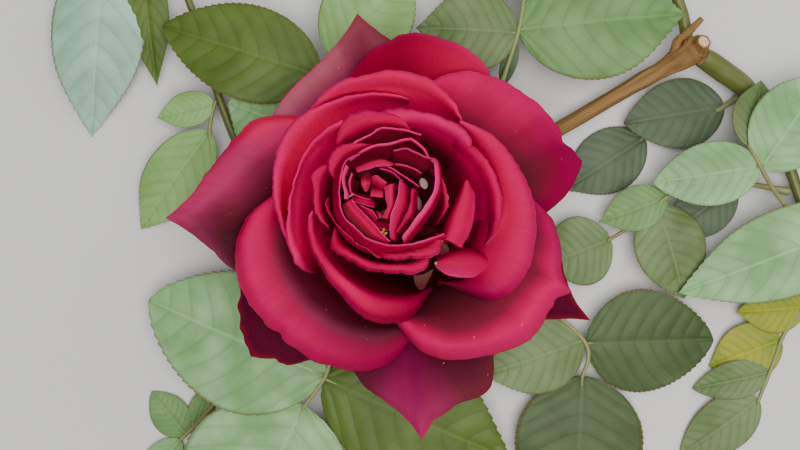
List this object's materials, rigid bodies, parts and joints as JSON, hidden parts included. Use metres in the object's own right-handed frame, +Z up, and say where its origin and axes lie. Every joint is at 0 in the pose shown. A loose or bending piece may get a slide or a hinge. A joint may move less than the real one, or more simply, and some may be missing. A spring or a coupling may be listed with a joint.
{
  "type": "cut flowering rose shoot",
  "caption": "Cut garden rose shoot lying down: an open crimson double bloom on a short stem from old woody cane, with spreading serrated compound leaves.",
  "frame": {"origin": "middle of the shoot's footprint, on the level it lies on", "axes": "+X along the longest extent, towards the right with the bloom's face seen from above; +Y across the shoot, away from the lower leaves; +Z up, the way the bloom faces"},
  "size_m": [0.2806, 0.2154, 0.0825],
  "materials": {
    "petal_red": "matt velvety crimson petal",
    "leaf_green": "satin grey-green leaf",
    "stem_green": "smooth green young stem",
    "old_bark": "dull brown bark of an old cane"
  },
  "bodies": {
    "root": {"guard_petal_top": "petal_red", "guard_petal_left": "petal_red", "guard_petal_lower_left": "petal_red", "guard_petal_bottom": "petal_red", "guard_petal_right": "petal_red", "skirt_petal_top": "petal_red", "skirt_petal_right": "petal_red", "bowl_petal_left": "petal_red", "bowl_petal_right": "petal_red", "cup_petal_top": "petal_red", "cup_petal_right": "petal_red", "cup_petal_left": "petal_red", "inner_petal_left": "petal_red", "inner_petal_right": "petal_red", "inner_petal_lower": "petal_red", "bloom_heart": "petal_red", "hip": "stem_green", "sepal_1": "stem_green", "sepal_2": "stem_green", "sepal_3": "stem_green", "sepal_4": "stem_green", "sepal_5": "stem_green", "flower_stem": "stem_green", "side_shoot": "stem_green", "upper_shoot": "stem_green", "left_shoot": "stem_green", "cane": "old_bark", "dry_spur": "old_bark", "leaf_bottom_left": "leaf_green", "leaf_bottom_right": "leaf_green", "leaf_top": "leaf_green", "leaf_top_left": "leaf_green", "leaf_left": "leaf_green", "leaf_right": "leaf_green", "leaf_far_right": "leaf_green", "leaf_middle_right": "leaf_green", "leaf_far_left": "leaf_green", "leaf_lower_right": "leaf_green", "leaf_dark_right": "leaf_green", "leaf_small_left": "leaf_green"}
  },
  "joints": []
}
